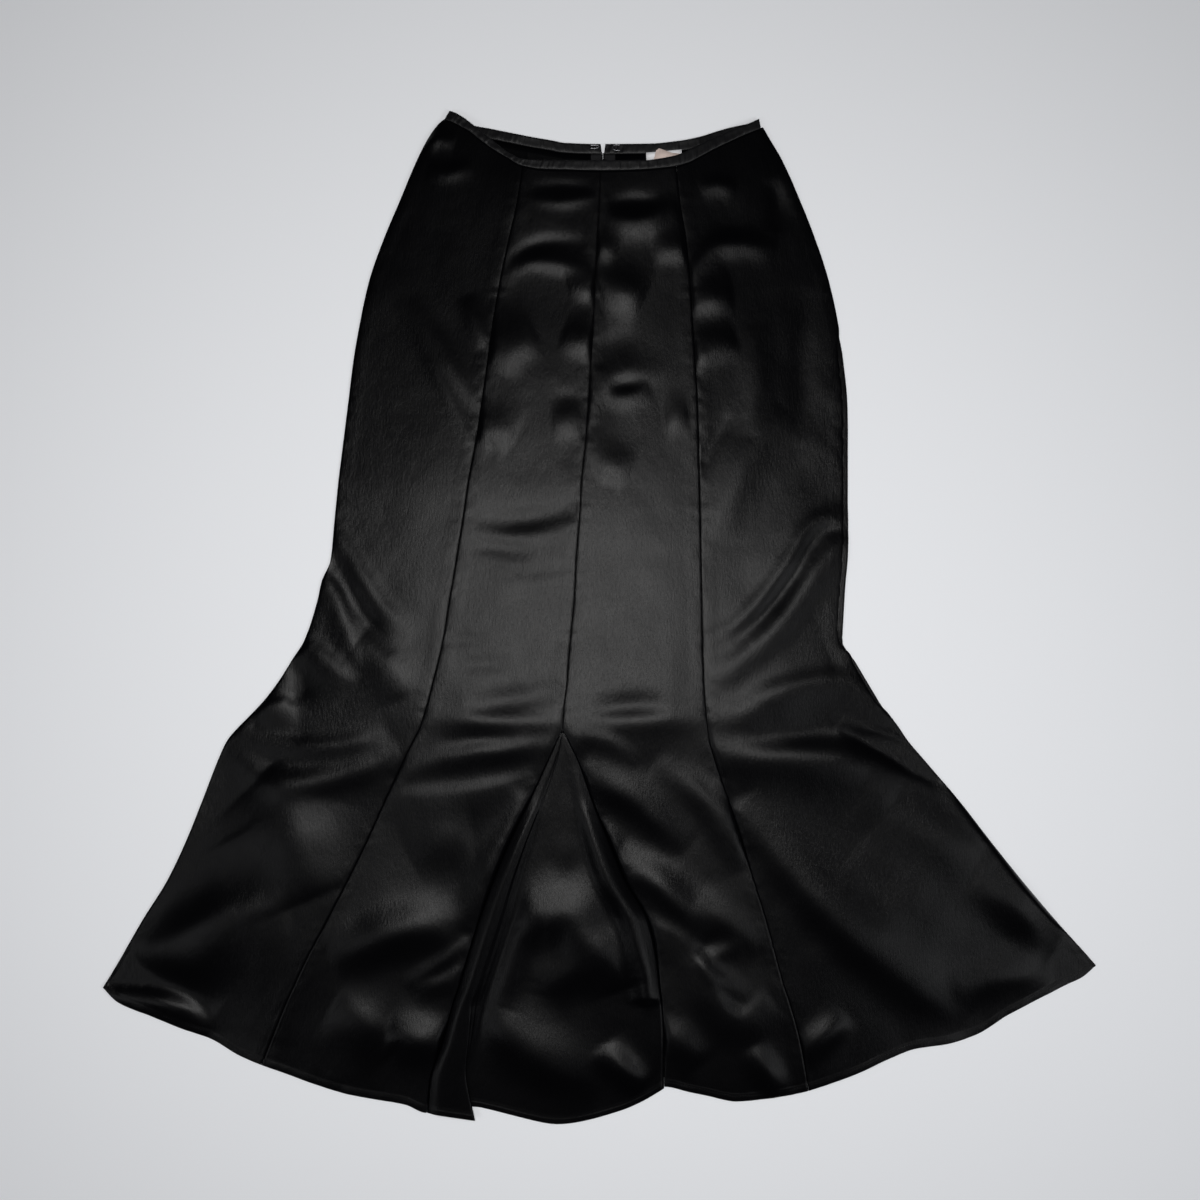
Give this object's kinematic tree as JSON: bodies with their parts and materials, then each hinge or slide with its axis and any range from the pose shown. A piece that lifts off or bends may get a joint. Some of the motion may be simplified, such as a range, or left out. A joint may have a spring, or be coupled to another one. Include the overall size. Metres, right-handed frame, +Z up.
{
  "type": "mermaid fishtail skirt",
  "caption": "Long black satin skirt, narrow to the knee and flared like a fishtail with a godet at the front, with a narrow waist binding, laid flat front up.",
  "frame": {"origin": "centre of the skirt's bounding box, on the surface that it lies on", "axes": "+Z up, away from that surface; +Y up the skirt towards the waist; +X to the right when the front is seen"},
  "size_m": [0.9914, 1.011, 0.0133],
  "materials": {
    "satin": "black satin, bright sheen",
    "binding": "black satin binding",
    "zip_tape": "matt black woven tape with nylon coil",
    "zip_metal": "black enamel",
    "hook_steel": "nickel-plated wire",
    "label_white": "blank white woven label",
    "care_cream": "blank pinkish cream ribbon"
  },
  "bodies": {
    "skirt": {"front_centre_left": "satin", "front_centre_right": "satin", "front_side_left": "satin", "front_side_right": "satin", "front_godet": "satin", "back_centre_left": "satin", "back_centre_right": "satin", "back_side_left": "satin", "back_side_right": "satin", "waistband_front": "binding", "waistband_back_left": "binding", "waistband_back_right": "binding", "zip_tape_left": "zip_tape", "zip_tape_right": "zip_tape", "zip_slider": "zip_metal", "hook": "hook_steel", "eye": "hook_steel", "label": "label_white", "care_tab": "care_cream"},
    "pull_tab": {"zip_pull_tab": "zip_metal"}
  },
  "joints": [
    {"name": "pull_tab_hinge", "type": "hinge", "parent": "skirt", "child": "pull_tab", "pos_m": [0.0035, 0.4515, 0.0015], "axis": [1, 0, 0], "range_deg": [0, 150]}
  ]
}
